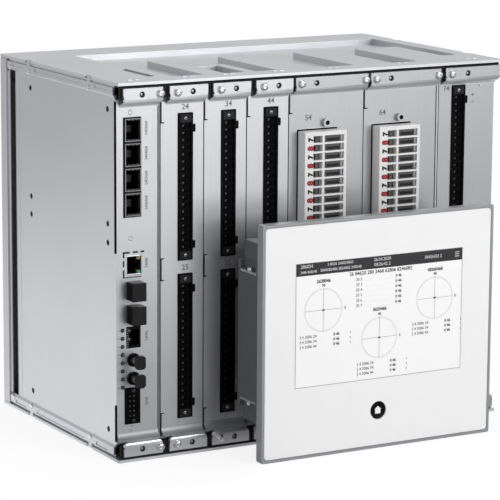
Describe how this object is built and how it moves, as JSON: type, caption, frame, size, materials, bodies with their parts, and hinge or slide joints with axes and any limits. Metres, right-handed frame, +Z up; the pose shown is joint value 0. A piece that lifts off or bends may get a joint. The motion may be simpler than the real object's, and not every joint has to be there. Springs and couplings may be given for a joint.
{
  "type": "protection relay",
  "caption": "Protection relay: a sheet-metal case of plug-in modules with terminal strips, ports and flanged plates, and a separate flat operator panel with a screen and a sprung round button.",
  "frame": {"origin": "centre of the bounding box's base, on the plane that the case and the panel stand on", "axes": "+X to the right seen from the front, +Y towards the case's rear, +Z up; the fronts face -Y"},
  "size_m": [0.314, 0.2426, 0.265],
  "materials": {
    "cover_steel": "satin zinc-coated sheet",
    "side_steel": "satin zinc-coated sheet",
    "plate_aluminium": "satin",
    "rail_black": "matt black paint",
    "terminal_black": "moulded",
    "cap_black": "moulded",
    "cage_metal": "plated",
    "block_white": "moulded",
    "board_green": "coated laminate",
    "core_brown": "varnished winding",
    "lens_dark": "clear moulding, unlit",
    "bezel_grey": "fine satin paint",
    "housing_grey": "moulded",
    "glass_white": "gloss, printed white on the back",
    "display_grey": "display module",
    "button_black": "satin moulded",
    "clamp_steel": "plated"
  },
  "bodies": {
    "root": {"top_cover": "cover_steel", "bottom_cover": "cover_steel", "rear_plate": "cover_steel", "side_plate_left": "side_steel", "side_plate_right": "side_steel", "partition_comm": "side_steel", "partition_power": "side_steel", "comm_plate": "plate_aluminium", "io_1_plate": "plate_aluminium", "io_2_plate": "plate_aluminium", "io_3_plate": "plate_aluminium", "analog_1_plate": "plate_aluminium", "analog_2_plate": "plate_aluminium", "power_plate": "plate_aluminium", "rail_top": "rail_black", "rail_bottom": "rail_black", "io_1_terminal_upper": "terminal_black", "io_1_terminal_lower": "terminal_black", "io_2_terminal_upper": "terminal_black", "io_2_terminal_lower": "terminal_black", "io_3_terminal_upper": "terminal_black", "io_3_terminal_lower": "terminal_black", "power_terminal_upper": "terminal_black", "power_terminal_lower": "terminal_black", "sync_terminal": "terminal_black", "lan_socket": "terminal_black", "optical_sockets": "terminal_black", "panel_lan_socket": "terminal_black", "dust_cap_1": "cap_black", "dust_cap_2": "cap_black", "fibre_cap_1": "cap_black", "fibre_cap_2": "cap_black", "transceiver_cage": "cage_metal", "fibre_port_1": "cage_metal", "fibre_port_2": "cage_metal", "analog_1_terminal": "block_white", "analog_2_terminal": "block_white", "comm_board": "board_green", "io_1_board": "board_green", "io_2_board": "board_green", "io_3_board": "board_green", "analog_1_board": "board_green", "analog_2_board": "board_green", "power_board": "board_green", "backplane": "board_green", "panel_board": "board_green", "analog_1_transformers": "core_brown", "analog_2_transformers": "core_brown", "power_transformer": "core_brown", "led_light_pipe": "lens_dark", "panel_bezel": "bezel_grey", "panel_housing": "housing_grey", "panel_glass": "glass_white", "panel_display": "display_grey", "clamp_left_upper": "clamp_steel", "clamp_left_lower": "clamp_steel", "clamp_right_upper": "clamp_steel", "clamp_right_lower": "clamp_steel"},
    "button": {"home_button": "button_black"}
  },
  "joints": [
    {"name": "home_button_press", "type": "slide", "parent": "root", "child": "button", "axis": [0, 1, 0], "range_m": [0, 0.001], "stiffness_N_per_m": 600, "springref_m": -0.0005}
  ]
}
